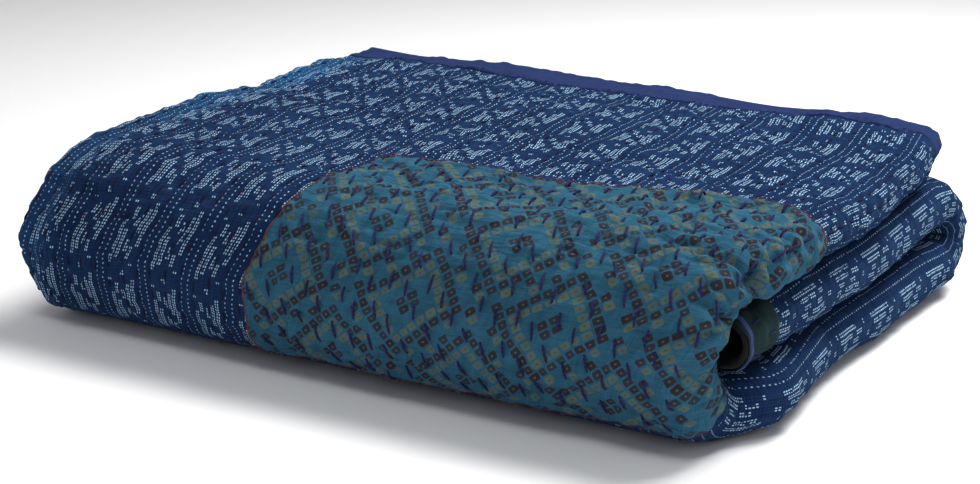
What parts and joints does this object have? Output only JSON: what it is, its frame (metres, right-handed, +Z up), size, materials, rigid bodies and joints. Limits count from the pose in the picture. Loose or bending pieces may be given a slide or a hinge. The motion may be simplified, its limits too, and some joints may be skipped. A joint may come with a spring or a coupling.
{
  "type": "folded quilt",
  "caption": "Thin padded patchwork quilt folded into a long stack, with a rounded front fold, a contrast patch round it and a bound edge at the top back.",
  "frame": {"origin": "centre of the folded quilt's outline, on the surface that it rests on", "axes": "+X along the long side to the end with the patch, +Y from the rounded front fold to the back, +Z up"},
  "size_m": [0.763, 0.632, 0.1928],
  "materials": {
    "indigo_cloth": "matt woven cotton",
    "teal_cloth": "matt tie-dyed cotton",
    "green_cloth": "matt cotton",
    "violet_thread": "matt thread",
    "binding_cloth": "matt plain cotton"
  },
  "bodies": {
    "root": {"quilt_cloth": "indigo_cloth", "teal_patch": "teal_cloth", "green_patch": "green_cloth", "green_patch_edging": "violet_thread", "edge_binding": "binding_cloth"}
  },
  "joints": []
}
